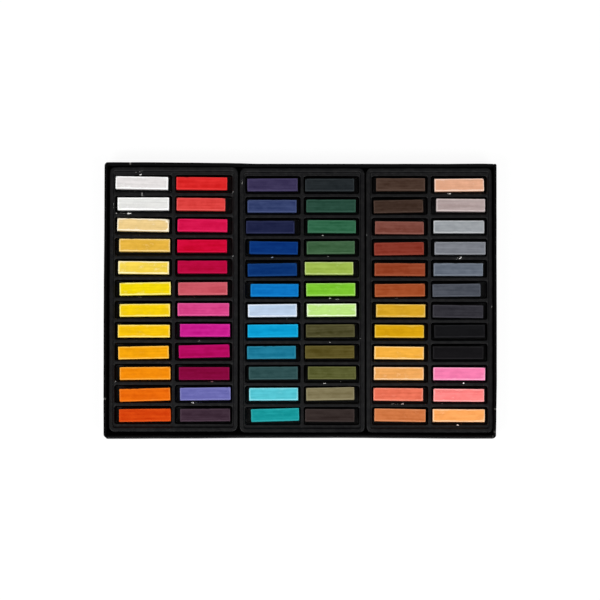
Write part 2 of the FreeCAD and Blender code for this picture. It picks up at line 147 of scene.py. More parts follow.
def powdered(colour, share, lit=1.0):
    """The pigment's hex colour times lit, then lightened towards white chalk by a share."""
    channels = [min(255, int(colour[i:i + 2], 16) * lit) for i in (1, 3, 5)]
    return "#" + "".join(f"{round(c + (255 - c) * share):02x}" for c in channels)


def shifted(colour, steps):
    """The hex colour, darker or lighter by this many of its 255 steps, fewer when nearly black."""
    channels = [int(colour[i:i + 2], 16) for i in (1, 3, 5)]
    steps *= min(1.0, lightness(colour) / 0.24)
    return "#" + "".join(f"{max(0, min(255, round(c + steps))):02x}" for c in channels)


def lightness(colour):
    """How light the eye finds a hex colour, 0 to 1."""
    red, green, blue = [int(colour[i:i + 2], 16) / 255 for i in (1, 3, 5)]
    return 0.3 * red + 0.59 * green + 0.11 * blue


def add(tree, kind, settings=None, **links):
    """Adds a node. Settings are its own values by attribute or by socket, and links feed sockets."""
    node = tree.nodes.new(kind)
    for name, value in (settings or {}).items():
        if hasattr(node, name):
            setattr(node, name, value)
        else:
            node.inputs[int(name) if name.isdigit() else name].default_value = value
    for name, source in links.items():
        socket = name.replace("_", " ")
        target = node.inputs[int(socket[1:])] if socket[1:].isdigit() else node.inputs[socket]
        tree.links.new(source, target)
    return node


def new_material(name):
    """An empty node material and its tree."""
    material = bpy.data.materials.new(name)
    material.use_nodes = True
    material.node_tree.nodes.clear()
    return material, material.node_tree


def mix_colour(tree, factor, a, b, blend="MIX"):
    """Mixes two colours, each a hex text or a socket."""
    node = add(tree, "ShaderNodeMix", {"data_type": "RGBA", "blend_type": blend})
    for socket, given in (("Factor", factor), ("A", a), ("B", b)):
        kind = "VALUE" if socket == "Factor" else "RGBA"
        target = next(s for s in node.inputs if s.name == socket and s.type == kind)
        if isinstance(given, str):
            target.default_value = linear(given)
        elif isinstance(given, float):
            target.default_value = given
        else:
            tree.links.new(given, target)
    return next(s for s in node.outputs if s.type == "RGBA")


def scaled_place(tree, scale, offset=(0, 0, 0)):
    """Object coordinates in millimetres times scale, shifted by offset."""
    place = add(tree, "ShaderNodeTexCoord").outputs["Object"]
    mapping = add(
        tree,
        "ShaderNodeMapping",
        {"Scale": [s / MM for s in scale], "Location": offset},
        Vector=place,
    )
    return mapping.outputs["Vector"]


def stretch(tree, source, low, high, to_low=0.0, to_high=1.0):
    """Maps a value from low..high to to_low..to_high, clamped."""
    settings = {"From Min": low, "From Max": high, "To Min": to_low, "To Max": to_high}
    return add(tree, "ShaderNodeMapRange", settings, Value=source).outputs["Result"]


# Soft pastel: pigment and chalk pressed into a square stick and left to dry. The eye gets a dead
# matt, powdery body with fine drawn lines along it, and edges paler, partly from loose powder and
# partly as a painted highlight.
STICK_LINE = 1.5      # mm, between the drawn lines
STICK_MOTTLE = 6.0    # mm, patches where the press left more or less chalk
STICK_GRAIN = 0.35    # mm, powder grain, coarser than real so that it shows
LINE_SHADES = (-17, 11)   # steps of 255 darker and lighter than the pigment, along the lines
PATCH_SHADES = (8, -15)   # and over the patches
PATCH_SHARE = 0.4
EDGE_LIT = 1.05       # painted highlight: how much brighter the pigment is painted along the pale edges
EDGE_LEAST = 0.055    # how white the pale edges of a black stick get
EDGE_POWDER_AND_HIGHLIGHT = 1.35    # and how much whiter those of a white one
EDGE_FALL = 4.0       # how fast that falls with the pigment's lightness


def pressed_chalk_pastel(name, colour, seed):
    material, tree = new_material(name)
    shift = (seed * 7.3, seed * 3.1, seed * 1.7)
    lines = add(
        tree,
        "ShaderNodeTexNoise",
        {"Scale": 1.0, "Detail": 3.0, "Roughness": 0.6},
        Vector=scaled_place(tree, (0.03, 1 / STICK_LINE, 1 / STICK_LINE), shift),
    ).outputs["Fac"]
    mottle = add(
        tree,
        "ShaderNodeTexNoise",
        {"Scale": 1.0, "Detail": 4.0, "Roughness": 0.55},
        Vector=scaled_place(tree, (1 / STICK_MOTTLE, 1.6 / STICK_MOTTLE, 1.6 / STICK_MOTTLE), shift),
    ).outputs["Fac"]
    grain = add(
        tree,
        "ShaderNodeTexNoise",
        {"Scale": 1.0, "Detail": 2.0, "Roughness": 0.7},
        Vector=scaled_place(tree, (1 / STICK_GRAIN,) * 3, shift),
    ).outputs["Fac"]
    # the pale band along the edges: powder rubbed on, and a painted highlight of the edges; weaker at
    # the right ends as painted shade
    worn = add(tree, "ShaderNodeAttribute", {"attribute_name": "worn"}).outputs["Fac"]

    dark, light = [shifted(colour, steps) for steps in LINE_SHADES]
    body = mix_colour(tree, stretch(tree, lines, 0.32, 0.68), dark, light)
    light, dark = [shifted(colour, steps) for steps in PATCH_SHADES]
    patch = mix_colour(tree, stretch(tree, mottle, 0.4, 0.6), light, dark)
    body = mix_colour(tree, PATCH_SHARE, body, patch)
    speckle = stretch(tree, grain, 0.62, 0.8, 0.0, 0.5)
    body = mix_colour(tree, speckle, body, powdered(colour, 0.12))
    ragged = add(tree, "ShaderNodeMath", {"operation": "MULTIPLY_ADD", "1": 0.5}, _0=grain, _2=worn)
    ragged = add(tree, "ShaderNodeMath", {"operation": "ADD"}, _0=ragged.outputs[0], _1=mottle)
    # the whiter the stick, the more solid the pale band of powder and painted highlight
    solid = lightness(colour) ** 4
    rubbed = stretch(tree, ragged.outputs[0], 0.9 - 0.15 * solid, 1.25 - 0.3 * solid)
    powder_and_highlight = min(1.0, EDGE_LEAST + EDGE_POWDER_AND_HIGHLIGHT * lightness(colour) ** EDGE_FALL)
    edge = powdered(colour, powder_and_highlight, EDGE_LIT)
    # pale edges: powder, and in part a painted highlight
    body = mix_colour(tree, rubbed, body, edge)

    height = add(tree, "ShaderNodeMath", {"operation": "MULTIPLY_ADD", "1": 0.6}, _0=lines, _2=grain)
    bump = add(
        tree,
        "ShaderNodeBump",
        {"Strength": 0.35, "Distance": 0.06 * MM},
        Height=height.outputs[0],
    )
    shader = add(
        tree,
        "ShaderNodeBsdfPrincipled",
        {"Roughness": 0.95, "Specular IOR Level": 0.05, "IOR": 1.5},
        Base_Color=body,
        Normal=bump.outputs["Normal"],
    )
    add(tree, "ShaderNodeOutputMaterial", Surface=shader.outputs["BSDF"])
    return material


# Vacuum-formed polystyrene, black: a thin sheet sucked over a mould. The eye gets a smooth satin
# black with soft highlights along its folds, and dust of the sticks' pigments in it.
FORMED_RIPPLE = 9.0   # mm, slow ripple of the drawn sheet
DUST_GRAIN = 0.9      # mm, between specks of powder


def vacuum_formed_polystyrene():
    material, tree = new_material("vacuum_formed_polystyrene")
    ripple = add(
        tree,
        "ShaderNodeTexNoise",
        {"Scale": 1.0, "Detail": 2.0},
        Vector=scaled_place(tree, (1 / FORMED_RIPPLE,) * 3),
    ).outputs["Fac"]
    film = add(
        tree,
        "ShaderNodeTexNoise",
        {"Scale": 1.0, "Detail": 5.0, "Roughness": 0.65},
        Vector=scaled_place(tree, (0.35,) * 3),
    ).outputs["Fac"]
    speck = add(
        tree,
        "ShaderNodeTexVoronoi",
        {"Scale": 1.0, "Randomness": 1.0},
        Vector=scaled_place(tree, (1 / DUST_GRAIN,) * 3),
    )
    powder = add(tree, "ShaderNodeAttribute", {"attribute_name": "powder"})
    near_core = stretch(tree, speck.outputs["Distance"], 0.1, 0.22, 1.0, 0.0)
    chosen = stretch(tree, add(tree, "ShaderNodeSeparateColor", _0=speck.outputs["Color"]).outputs[0],
                     0.86, 0.9)
    dust = add(tree, "ShaderNodeMath", {"operation": "MULTIPLY"}, _0=near_core, _1=chosen).outputs[0]
    reach = stretch(tree, powder.outputs["Alpha"], 0.0, 1.0, 0.1, 0.6)
    dust = add(tree, "ShaderNodeMath", {"operation": "MULTIPLY"}, _0=dust, _1=reach).outputs[0]
    haze = stretch(tree, film, 0.45, 0.8, 0.0, 0.03)

    body = mix_colour(tree, haze, "#08080a", "#8c8a86")
    body = mix_colour(tree, dust, body, powder.outputs["Color"])
    bump = add(tree, "ShaderNodeBump", {"Strength": 0.2, "Distance": 0.08 * MM}, Height=ripple)
    shader = add(
        tree,
        "ShaderNodeBsdfPrincipled",
        {"Specular IOR Level": 0.2, "IOR": 1.5},
        Base_Color=body,
        Roughness=stretch(tree, film, 0.3, 0.8, 0.36, 0.48),
        Normal=bump.outputs["Normal"],
    )
    add(tree, "ShaderNodeOutputMaterial", Surface=shader.outputs["BSDF"])
    return material


# Black greyboard card, dyed through and folded. The eye gets a dull fibrous black, with its sides
# painted lighter and its crest darker as painted light and shade, paler where the fold's crest has
# rubbed, partly a painted highlight along it, and grey board in the chips.
CARD_FIBRE = 0.5      # mm, width of a fibre bundle


def black_greyboard_card():
    material, tree = new_material("black_greyboard_card")
    fibre = add(
        tree,
        "ShaderNodeTexNoise",
        {"Scale": 1.0, "Detail": 4.0, "Roughness": 0.7},
        Vector=scaled_place(tree, (1 / CARD_FIBRE, 0.4 / CARD_FIBRE, 1 / CARD_FIBRE)),
    ).outputs["Fac"]
    scuff = add(
        tree,
        "ShaderNodeTexNoise",
        {"Scale": 1.0, "Detail": 3.0, "Roughness": 0.6},
        Vector=scaled_place(tree, (0.12, 0.12, 0.4)),
    ).outputs["Fac"]
    # the crest band: the card is painted darker there as shade, and its rubs paler, in part as a
    # painted highlight
    worn = add(tree, "ShaderNodeAttribute", {"attribute_name": "worn"}).outputs["Fac"]
    raw = add(tree, "ShaderNodeAttribute", {"attribute_name": "raw"}).outputs["Fac"]
    rub = add(tree, "ShaderNodeMath", {"operation": "MULTIPLY"}, _0=worn, _1=fibre).outputs[0]
    rub = add(tree, "ShaderNodeMath", {"operation": "MULTIPLY"}, _0=rub, _1=scuff).outputs[0]

    # painted light and shade: the walls' sides are painted lighter than the crest, a lit and a shaded
    # tone of one black card
    side = mix_colour(tree, stretch(tree, fibre, 0.3, 0.7), "#121213", "#1e1e1f")
    crest = mix_colour(tree, stretch(tree, fibre, 0.3, 0.7), "#040405", "#0c0c0d")
    body = mix_colour(tree, stretch(tree, worn, 0.0, 0.3), side, crest)
    # the crest's pale rubs: wear, and in part a painted highlight along the crest
    body = mix_colour(tree, stretch(tree, rub, 0.26, 0.44, 0.0, 0.25), body, "#262525")
    body = mix_colour(tree, stretch(tree, raw, 0.05, 0.9), body, "#d6d2ca")
    bump = add(tree, "ShaderNodeBump", {"Strength": 0.3, "Distance": 0.05 * MM}, Height=fibre)
    shader = add(
        tree,
        "ShaderNodeBsdfPrincipled",
        {"Roughness": 0.72, "Specular IOR Level": 0.035, "IOR": 1.5},
        Base_Color=body,
        Normal=bump.outputs["Normal"],
    )
    add(tree, "ShaderNodeOutputMaterial", Surface=shader.outputs["BSDF"])
    return material


def new_piece(name, mesh, material, node=None):
    """A shown piece, which may stand for a node and takes its finish from a slot."""
    piece = bpy.data.objects.new(name, mesh)
    bpy.context.scene.collection.objects.link(piece)
    mesh.materials.append(material)
    if node:
        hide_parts(node)
    return piece


def smooth(mesh):
    """Shades all faces of a mesh smooth."""
    mesh.polygons.foreach_set("use_smooth", [True] * len(mesh.polygons))


# Sticks
STICK_EDGE = 0.3 * MM         # round of a fresh edge
STICK_WEAR = 0.35 * MM        # how much more a worn edge is rounded
WEAR_AND_HIGHLIGHT_BAND = 1.0 * MM        # width of the pale band along the edges, of powder and a painted highlight
RIGHT_END_PAINTED_SHADE = 0.8           # painted shade: the pale band is painted weaker at the right ends, where less light falls
NEAR_EDGE = (0.0, 0.1, 0.25, 0.45, 0.75, 1.3)  # mm from an edge, where the mesh is dense
STICK_MESH = (1.0 * MM, 1.4 * MM, 1.4 * MM)    # between the mesh's points elsewhere
EDGE_UNEVEN = (2.2 * MM, 0.7 * MM)  # lengths of the slow and the fine unevenness of an edge
FINE_WEAR = 0.1 * MM          # how much the fine one adds to its round
FACE_WAVE = (9 * MM, 0.05 * MM)     # length and depth of the waves in a face
CHIP_WEAR = 1.3 * MM          # how much rounder a knocked corner is
CHIP_REACH = (0.5, 1.3)       # mm, from the smallest knock to the largest
# sticks with corners broken off: which corner of the stick, and how far the break reaches
BROKEN_CORNERS = {
    "stick_sand_back": (((1, 1, 1), 2.6 * MM), ((1, -1, 1), 2.2 * MM)),
    "stick_scarlet_front": (((1, 1, 1), 1.8 * MM),),
}


def stations(half, spacing):
    """Places from -half to half, dense near both ends."""
    near = [half - d * MM for d in NEAR_EDGE]
    inner = near[-1]
    count = max(2, round(2 * inner / spacing))
    middle = [-inner + 2 * inner * i / count for i in range(1, count)]
    return [-p for p in near] + middle + near[::-1]


def box_shell(halves, spacings):
    """The six faces of a box as one closed grid: points and quads."""
    grids = [stations(h, s) for h, s in zip(halves, spacings)]
    points = {}
    quads = []

    def corner(key):
        return points.setdefault(key, len(points))

    for axis in range(3):
        u, v = (axis + 1) % 3, (axis + 2) % 3
        for side in (0, len(grids[axis]) - 1):
            for i in range(len(grids[u]) - 1):
                for j in range(len(grids[v]) - 1):
                    quad = []
                    for a, b in ((i, j), (i + 1, j), (i + 1, j + 1), (i, j + 1)):
                        key = [0, 0, 0]
                        key[axis], key[u], key[v] = side, a, b
                        quad.append(corner(tuple(key)))
                    quads.append(quad if side else quad[::-1])
    places = [Vector([grids[k][key[k]] for k in range(3)]) for key in points]
    return places, quads


def chalk_stick_mesh(name, halves, seed, chips):
    """A pressed stick: flat sides, edges worn round unevenly and knocked off here and there."""
    places, quads = box_shell(halves, STICK_MESH)
    shift = Vector((seed * 13.7, seed * 5.9, seed * 9.1))
    worn = []
    verts = []
    for p in places:
        rough = noise.noise(p / EDGE_UNEVEN[0] + shift)
        fine = noise.noise(p / EDGE_UNEVEN[1] + shift)
        reach = STICK_EDGE + STICK_WEAR * max(0.0, rough) + FINE_WEAR * max(0.0, fine)
        gone = 0.0
        for centre, size in chips:
            gone = max(gone, 1 - (p - centre).length / size)
        reach += max(0.0, gone) * CHIP_WEAR
        inner = Vector([max(-h + reach, min(h - reach, c)) for c, h in zip(p, halves)])
        out = p - inner
        point = inner + out.normalized() * min(out.length, reach) if out.length > 1e-9 else p.copy()
        face = max(range(3), key=lambda k: abs(p[k]) / halves[k])
        slow = noise.noise(p / FACE_WAVE[0] + shift) * FACE_WAVE[1]
        point[face] -= math.copysign(abs(slow), p[face])
        verts.append(point)
        gaps = sorted(h - abs(c) for c, h in zip(p, halves))
        # the pale band along the edges, partly powder and partly a painted highlight of the edges
        rub = 1 - gaps[1] / WEAR_AND_HIGHLIGHT_BAND
        # painted shade: the band is weaker at the right ends
        if halves[0] - p.x < gaps[1] + 1e-7:
            rub *= RIGHT_END_PAINTED_SHADE
        worn.append(max(0.0, rub, min(1.0, 2 * gone)))
    mesh = bpy.data.meshes.new(name)
    mesh.from_pydata(verts, [], quads)
    attribute = mesh.attributes.new("worn", "FLOAT", "POINT")
    attribute.data.foreach_set("value", worn)
    smooth(mesh)
    return mesh


def lie_of_sticks(node):
    """Where the two sticks of a CAD node lie: the matrix and the half sizes of each, back first."""
    co = np.array([v.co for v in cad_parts[node].data.vertices])
    co = np.unique(np.round(co, 6), axis=0)
    middle = (co[:, 1].min() + co[:, 1].max()) / 2
    found = []
    for part in (co[co[:, 1] > middle], co[co[:, 1] < middle]):
        centre = (part.min(axis=0) + part.max(axis=0)) / 2
        spread = np.cov((part - centre)[:, :2].T)
        along = np.linalg.eigh(spread)[1][:, 1]
        along = along * math.copysign(1, along[0])
        turn = Matrix.Rotation(math.atan2(along[1], along[0]), 4, "Z")
        local = (part - centre) @ np.array(turn.to_3x3())
        found.append((Matrix.Translation(centre) @ turn, (local.max(axis=0) - local.min(axis=0)) / 2))
    return found


def make_sticks():
    """72 sticks, each a piece of its own, two standing for each CAD node."""
    seed = 0
    for (side, column), pairs in PIGMENTS.items():
        for label, colours in pairs.items():
            node = f"pastels_{label}"
            for place, colour, (matrix, halves) in zip(("back", "front"), colours, lie_of_sticks(node)):
                seed += 1
                name = f"stick_{label}_{place}"
                draw = random.Random(seed)
                chips = [
                    (Vector((h * s for h, s in zip(halves, signs))), reach)
                    for signs, reach in BROKEN_CORNERS.get(name, ())
                ]
                for _ in range(draw.randint(1, 4)):
                    corner = Vector([draw.choice((-1, 1)) * h for h in halves])
                    corner.x *= draw.choice((1, 1, draw.uniform(-0.9, 0.9)))
                    corner.z = abs(corner.z)
                    chips.append((corner, draw.uniform(*CHIP_REACH) * MM))
                material = pressed_chalk_pastel(f"pressed_chalk_pastel_{label}_{place}", colour, seed)
                mesh = chalk_stick_mesh(name, list(halves), seed, chips)
                piece = new_piece(name, mesh, material, node)
                piece.matrix_world = matrix
                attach(piece, node)


# Trays
CORNER_STEPS = 6              # edges round a corner
LONG_STEPS = 6                # edges along a well
SHORT_STEPS = 3               # edges across it
WELL_CORNER = 1.3 * MM        # corner radius of a well at the deck
LIP = (0.3 * MM, 0.5 * MM)    # round of the deck into a well, at its ends and along its sides
LIP_DROP = 0.45 * MM
WELL_FILLET = 0.9 * MM        # round at a well's floor
SLOPE = (0.45 * MM, 1.2 * MM)  # run from the rim to the deck, on the long sides and at the ends
DECK_CORNER = 0.7 * MM
ROUND_STEPS = 4               # edges over a rounded fold
WELL_LOOPS = (0.5, 1.0)       # loops down a well's wall, as shares of its height
SKIRT_RINGS = (0.3, 0.65, 1.0)  # rings down the skirt, as shares of its height
DUST_AT_DECK = 0.25           # how dusty a well is at its mouth, for 1 on its floor
SEAM = 0.02 * MM              # points of two cells closer than this are one
SHEET_SAG = ((14 * MM, 0.07 * MM), (4 * MM, 0.025 * MM))  # length and depth of its waves
# how the rim rises from the deck: share of the slope's run, share of the rise
RIM_SLOPE = ((0.12, 0.04), (0.3, 0.22), (0.75, 0.78), (0.92, 0.95), (1.25, 1.0))
PLAIN = (0.5, 0.5, 0.5, 0.0)  # no powder on the plastic


def outline(x, y, half, reach, square=()):
    """Points of a rounded rectangle, anticlockwise. A corner named in square is left sharp."""
    arcs = []
    for quarter, (sx, sy) in enumerate(((1, 1), (-1, 1), (-1, -1), (1, -1))):
        centre = (x + sx * (half[0] - reach[0]), y + sy * (half[1] - reach[1]))
        arc = []
        for step in range(CORNER_STEPS + 1):
            angle = (quarter + step / CORNER_STEPS) * math.pi / 2
            c, s = math.cos(angle), math.sin(angle)
            far = 1 / max(abs(c), abs(s)) if quarter in square else 1
            arc.append(Vector((centre[0] + reach[0] * c * far, centre[1] + reach[1] * s * far)))
        arcs.append(arc)
    points = []
    for quarter, arc in enumerate(arcs):
        after = arcs[(quarter + 1) % 4][0]
        steps = LONG_STEPS if quarter % 2 == 0 else SHORT_STEPS
        points += arc
        points += [arc[-1].lerp(after, i / steps) for i in range(1, steps)]
    return points


def well_profile(deck, floor):
    """How far each loop of a well lies outside its mouth in x and y, and its height."""
    rows = []
    for step in range(ROUND_STEPS + 1):
        angle = step / ROUND_STEPS * math.pi / 2
        out = 1 - math.sin(angle)
        rows.append((LIP[0] * out, LIP[1] * out, deck - LIP_DROP * (1 - math.cos(angle))))
    top, foot = deck - LIP_DROP, floor + WELL_FILLET
    for share in WELL_LOOPS:
        z = top + (foot - top) * share
        inset = (top - z) * math.tan(WELL_DRAFT)
        rows.append((-inset, -inset, z))
    for step in range(1, ROUND_STEPS + 1):
        angle = step / ROUND_STEPS * math.pi / 2
        reach = inset + WELL_FILLET * (1 - math.cos(angle))
        rows.append((-reach, -reach, foot - WELL_FILLET * math.sin(angle)))
    return rows


def rim_profile(deck, rim, foot):
    """How far each ring outside the deck lies from it in x and y, and its height."""
    rows = []
    for share, rise in RIM_SLOPE:
        rows.append((SLOPE[0] * share, SLOPE[1] * share, deck + RIM_RISE * rise))
    flat = RIM_WIDTH - RIM_ROUND
    for step in range(ROUND_STEPS + 2):
        angle = step / (ROUND_STEPS + 1) * (math.pi / 2 - SKIRT_DRAFT)
        out = flat + RIM_ROUND * math.sin(angle)
        rows.append((SLOPE[0] + out, SLOPE[1] + out, rim - RIM_ROUND * (1 - math.cos(angle))))
    x, y, start = rows[-1]
    for share in SKIRT_RINGS:
        z = start + (foot - start) * share
        out = (start - z) * math.tan(SKIRT_DRAFT)
        rows.append((x + out, y + out, z))
    return rows


def skin(mesh, one, two):
    """The strip of quads between two closed loops."""
    for i in range(len(one)):
        j = (i + 1) % len(one)
        mesh.faces.new((one[i], one[j], two[j], two[i]))


def add_cells(tray, vertex, side, centre, half_deck, deck, floor):
    """The deck in cells, each with the well in its middle."""
    cx, cy = centre
    taper = RIM_RISE * math.tan(WELL_DRAFT)
    mouth = (WELL_LENGTH[side] / 2 - taper, WELL_WIDTH / 2 - taper)
    xs = [-half_deck[0] + 2 * half_deck[0] * i / COLUMNS for i in range(COLUMNS + 1)]
    ys = [half_deck[1]]
    ys += [(ROWS / 2 - 1 - i) * ROW_PITCH for i in range(ROWS - 1)]
    ys.append(-half_deck[1])
    corners = {(COLUMNS - 1, 0): 0, (0, 0): 1, (0, ROWS - 1): 2, (COLUMNS - 1, ROWS - 1): 3}
    for column in range(COLUMNS):
        shades = [c for pair in PIGMENTS[side, column].values() for c in pair]
        for row in range(ROWS):
            x = cx + (column - (COLUMNS - 1) / 2) * COLUMN_PITCH[side]
            y = cy + ((ROWS - 1) / 2 - row) * ROW_PITCH
            x0, x1, y1, y0 = xs[column] + cx, xs[column + 1] + cx, ys[row] + cy, ys[row + 1] + cy
            rounded = corners.get((column, row))
            cell = outline(
                (x0 + x1) / 2,
                (y0 + y1) / 2,
                ((x1 - x0) / 2, (y1 - y0) / 2),
                (DECK_CORNER, DECK_CORNER),
                [q for q in range(4) if q != rounded],
            )
            loops = [[vertex(p.x, p.y, deck) for p in cell]]
            shade = linear(shades[row])[:3]
            for out_x, out_y, z in well_profile(deck, floor):
                half = (mouth[0] + out_x, mouth[1] + out_y)
                reach = (WELL_CORNER + out_x, WELL_CORNER + out_y)
                dusty = DUST_AT_DECK + (1 - DUST_AT_DECK) * (deck - z) / WELL_DEPTH
                loops.append([vertex(p.x, p.y, z, (*shade, dusty)) for p in outline(x, y, half, reach)])
            for one, two in zip(loops, loops[1:]):
                skin(tray, one, two)
            tray.faces.new(loops[-1])


def add_rings(tray, vertex, centre, half_deck, profile):
    """The slope, the rim and the skirt, ring by ring outward from the deck's edge."""
    cx, cy = centre
    ring = [e for e in tray.edges if e.is_boundary]
    corner = (half_deck[0] - DECK_CORNER, half_deck[1] - DECK_CORNER)
    faces_out = {}
    for v in dict.fromkeys(v for e in ring for v in e.verts):
        over = [max(0.0, abs(c) - k) / DECK_CORNER for c, k in zip((v.co.x - cx, v.co.y - cy), corner)]
        if min(over) < 1e-4:
            over = [1.0 if o > 0.99 else 0.0 for o in over]
        faces_out[v] = (math.copysign(over[0], v.co.x - cx), math.copysign(over[1], v.co.y - cy))
    start = {v: v.co.copy() for v in faces_out}
    last = {v: v for v in faces_out}
    for out_x, out_y, z in profile:
        now = {}
        for v, (nx, ny) in faces_out.items():
            now[v] = vertex(start[v].x + nx * out_x, start[v].y + ny * out_y, z)
        for e in ring:
            a, b = e.verts
            tray.faces.new((last[a], last[b], now[b], now[a]))
        last = now


def formed_tray_mesh(name, side):
    """One sheet: the deck with its wells, then the rim and the skirt."""
    low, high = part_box(f"tray_{side}")
    centre = ((low.x + high.x) / 2, (low.y + high.y) / 2)
    rim, foot = high.z, low.z
    deck, floor = rim - RIM_RISE, rim - RIM_RISE - WELL_DEPTH
    profile = rim_profile(deck, rim, foot)
    half_deck = ((high.x - low.x) / 2 - profile[-1][0], (high.y - low.y) / 2 - profile[-1][1])
    tray = bmesh.new()
    powder = tray.verts.layers.float_color.new("powder")
    shift = Vector((centre[0] * 40, 3.7, 1.3))

    def vertex(x, y, z, colour=PLAIN):
        where = Vector((x, y, z))
        sag = sum(noise.noise(where / length + shift) * depth for length, depth in SHEET_SAG)
        if z < floor + WELL_FILLET:
            # the floors only sink, so that no stick cuts into them
            sag = min(0.0, sag)
        if z <= foot + MM:
            # the skirt stands flat on its foot
            sag = 0.0
        made = tray.verts.new((x, y, min(rim, max(foot, z + sag))))
        made[powder] = colour
        return made

    add_cells(tray, vertex, side, centre, half_deck, deck, floor)
    bmesh.ops.remove_doubles(tray, verts=tray.verts, dist=SEAM)
    add_rings(tray, vertex, centre, half_deck, profile)
    bmesh.ops.recalc_face_normals(tray, faces=tray.faces)
    if sum(f.normal.z * f.calc_area() for f in tray.faces) < 0:
        bmesh.ops.reverse_faces(tray, faces=tray.faces)
    mesh = bpy.data.meshes.new(name)
    tray.to_mesh(mesh)
    tray.free()
    smooth(mesh)
    return mesh


def make_trays(material):
    """The three formed sheets, by side."""
    trays = {}
    for side in TRAYS:
        name = f"formed_tray_{side}"
        mesh = formed_tray_mesh(name, side)
        node = f"tray_{side}"
        piece = new_piece(name, mesh, material, node)
        sheet = piece.modifiers.new("sheet", "SOLIDIFY")
        sheet.thickness = PLASTIC
        sheet.offset = -1
        flat = piece.modifiers.new("flat", "WEIGHTED_NORMAL")
        flat.keep_sharp = False
        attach(piece, node)
        trays[side] = piece
    return trays


# Crumbs and streaks of chalk on the trays. The streaks along the bar's and the rim's edges of the
# left tray are in part a painted highlight of those edges.
WHITE_CHALK = "#efedea"
GREY_CHALK = "#a9a7a4"
DUSTY = "#6b6966"
SCATTER = 0.1                 # mm, to the sides of a streak
CRUMB_GROWTH = (0.75, 1.35)   # from the smallest to the largest of one heap
CRUMB_SIDES = ((0.8, 1.3), (0.6, 0.9), (0.35, 0.6))  # length, width and height for its size
CRUMB_ROUGH = (1.4, 0.45)     # how close and how deep its dents are
CRUMB_LIFT = 0.7              # how high its middle lies on the plastic, for half its height
# millimetres to the right of the drawer's middle and behind it, the length of a streak and its turn
# in degrees, how many crumbs, their size and colour
CRUMBS = (
    (-105.0, 82.7, 1.2, 15, 4, 0.75, WHITE_CHALK),
    (-106.0, 84.6, 5.0, 10, 9, 0.4, DUSTY),
    (-103.9, 69.6, 2.2, 90, 14, 0.8, DUSTY),
    (-103.4, 68.4, 2.2, 10, 8, 0.5, GREY_CHALK),
    # pale streak along the bar's edge: chalk, and in part a painted highlight of that edge
    (-117.0, 57.3, 9.0, 2, 46, 0.7, "#8f8d89"),
    (-114.5, 57.2, 3.0, 0, 8, 0.5, GREY_CHALK),
    (-112.4, 57.1, 2.2, -4, 12, 0.85, WHITE_CHALK),
    # grey streak along the rim's inner edge: chalk, and in part a painted highlight of that edge
    (-122.6, 62.9, 5.0, 88, 8, 0.35, GREY_CHALK),
    (-44.3, 70.7, 2.0, 70, 5, 0.4, GREY_CHALK),
    (-44.3, 28.8, 1.0, 60, 3, 0.5, GREY_CHALK),
    (-105.2, 1.9, 1.6, 10, 4, 0.4, GREY_CHALK),
    (-69.6, 1.9, 1.0, 0, 3, 0.4, GREY_CHALK),
    (-120.6, -53.2, 1.2, 30, 4, 0.5, GREY_CHALK),
    (-66.3, -26.9, 1.2, 10, 3, 0.4, GREY_CHALK),
    (-58.8, -53.4, 3.4, 0, 10, 0.6, "#74303a"),
    (-70.6, -67.1, 1.4, -20, 5, 0.8, WHITE_CHALK),
    (-67.2, -66.9, 5.6, 0, 14, 0.5, GREY_CHALK),
    (-18.6, 28.1, 1.0, 20, 3, 0.6, "#8ea4c8"),
    (14.7, 42.5, 0.8, 0, 3, 0.6, GREY_CHALK),
    (18.6, 28.8, 1.6, 10, 5, 0.4, GREY_CHALK),
    (43.5, 42.5, 1.0, 80, 3, 0.4, GREY_CHALK),
    (19.3, 1.2, 1.4, 0, 5, 0.6, WHITE_CHALK),
    (23.9, 0.4, 2.4, 5, 5, 0.4, GREY_CHALK),
    (-8.8, -11.9, 1.0, 0, 3, 0.4, GREY_CHALK),
    (16.0, -54.5, 1.4, 20, 4, 0.5, WHITE_CHALK),
    (26.5, -53.2, 1.0, 0, 3, 0.4, GREY_CHALK),
    (19.3, -27.6, 1.2, 0, 3, 0.4, GREY_CHALK),
    (39.5, -25.0, 1.0, 80, 3, 0.4, GREY_CHALK),
    (97.7, 70.2, 1.8, 2, 6, 0.7, WHITE_CHALK),
    (104.9, 27.8, 1.6, 30, 6, 0.6, WHITE_CHALK),
    (102.6, 27.2, 1.6, 60, 4, 0.4, GREY_CHALK),
    (63.1, 1.2, 1.0, 0, 3, 0.4, GREY_CHALK),
    (106.8, -54.5, 0.5, 0, 3, 1.0, WHITE_CHALK),
    (66.6, -68.1, 1.0, 10, 4, 0.8, "#b8a8a4"),
    (61.5, -68.1, 5.0, 0, 9, 0.4, DUSTY),
    (102.9, -81.9, 1.4, -15, 5, 0.8, "#d8c8c0"),
    (92.5, -67.6, 1.0, 10, 3, 0.4, GREY_CHALK),
    (48.7, -39.4, 1.4, 80, 4, 0.4, "#a89a6c"),
    (125.1, -4.7, 1.2, 80, 3, 0.4, GREY_CHALK),
    (-38.2, 77.9, 2.4, 85, 6, 0.4, GREY_CHALK),
)


